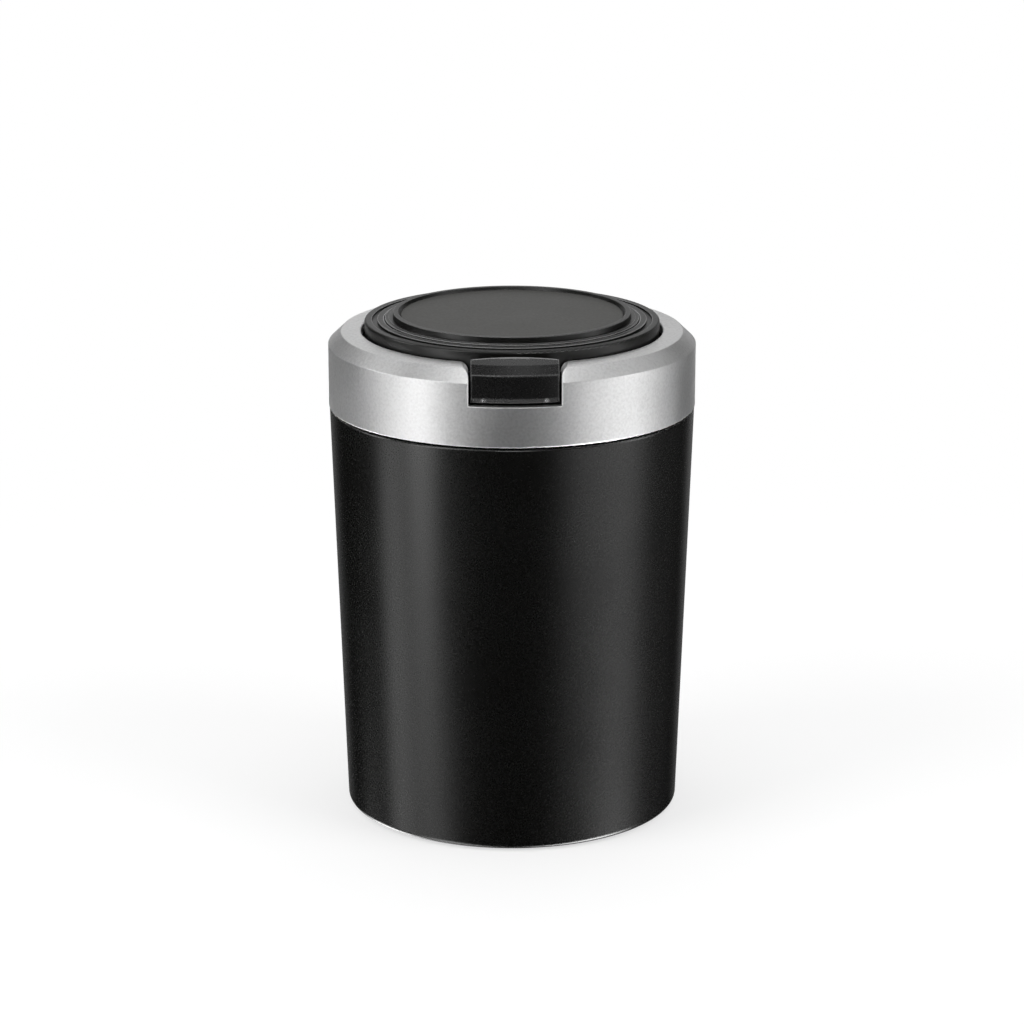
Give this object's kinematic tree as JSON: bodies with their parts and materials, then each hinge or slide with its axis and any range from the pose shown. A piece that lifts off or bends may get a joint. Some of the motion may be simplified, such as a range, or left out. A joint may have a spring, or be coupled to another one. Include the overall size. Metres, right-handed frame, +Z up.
{
  "type": "car ashtray",
  "caption": "Tapered round cup-holder ashtray with a silver collar, a twist-off head and a sprung lid with stepped rings, released by a front push button.",
  "frame": {"origin": "centre of the face that the cup stands on", "axes": "+Z up along the cup's axis, -Y towards the push button, +Y towards the lid's hinge"},
  "size_m": [0.0782, 0.0782, 0.1088],
  "materials": {
    "cup_black": "satin, very fine grain",
    "collar_silver": "fine-grained satin",
    "lid_black": "fine satin",
    "button_black": "semi-gloss",
    "disc_grey": "flat matt",
    "inner_black": "matt",
    "phenolic_black": "matt, heat-proof",
    "liner_steel": "drawn, satin",
    "spring_steel": "bright",
    "seal_rubber": "matt"
  },
  "bodies": {
    "cup": {"outer_cup": "cup_black", "neck_ring": "inner_black", "base_pad": "seal_rubber", "ash_liner": "liner_steel"},
    "head": {"head_ring": "inner_black", "rim_seal": "seal_rubber", "stub_insert": "phenolic_black", "seat_bezel": "inner_black", "collar": "collar_silver", "bezel_screws": "spring_steel", "collar_screws": "spring_steel", "hinge_pin": "spring_steel", "hinge_spring_left": "spring_steel", "hinge_spring_right": "spring_steel", "button_spring_left": "spring_steel", "button_spring_right": "spring_steel"},
    "button": {"push_button": "button_black", "guide_pin_left": "spring_steel", "guide_pin_right": "spring_steel"},
    "lid": {"lid_cap": "lid_black", "lid_disc": "disc_grey", "lid_liner": "phenolic_black", "lid_seal": "seal_rubber", "lid_screws": "spring_steel", "lid_catch": "spring_steel", "catch_screws": "spring_steel"}
  },
  "joints": [
    {"name": "head_turn", "type": "hinge", "parent": "cup", "child": "head", "pos_m": [0, 0, 0.092], "axis": [0, 0, 1], "range_deg": [0, 40]},
    {"name": "lid_hinge", "type": "hinge", "parent": "head", "child": "lid", "pos_m": [0, 0.0337, 0.1026], "axis": [-1, 0, 0], "range_deg": [0, 95], "deforming": ["hinge_spring_left", "hinge_spring_right", "lid_catch"]},
    {"name": "button_slide", "type": "slide", "parent": "head", "child": "button", "axis": [0, 1, 0], "range_m": [0, 0.0012], "stiffness_N_per_m": 600, "springref_m": -0.001, "deforming": ["button_spring_left", "button_spring_right"]}
  ]
}
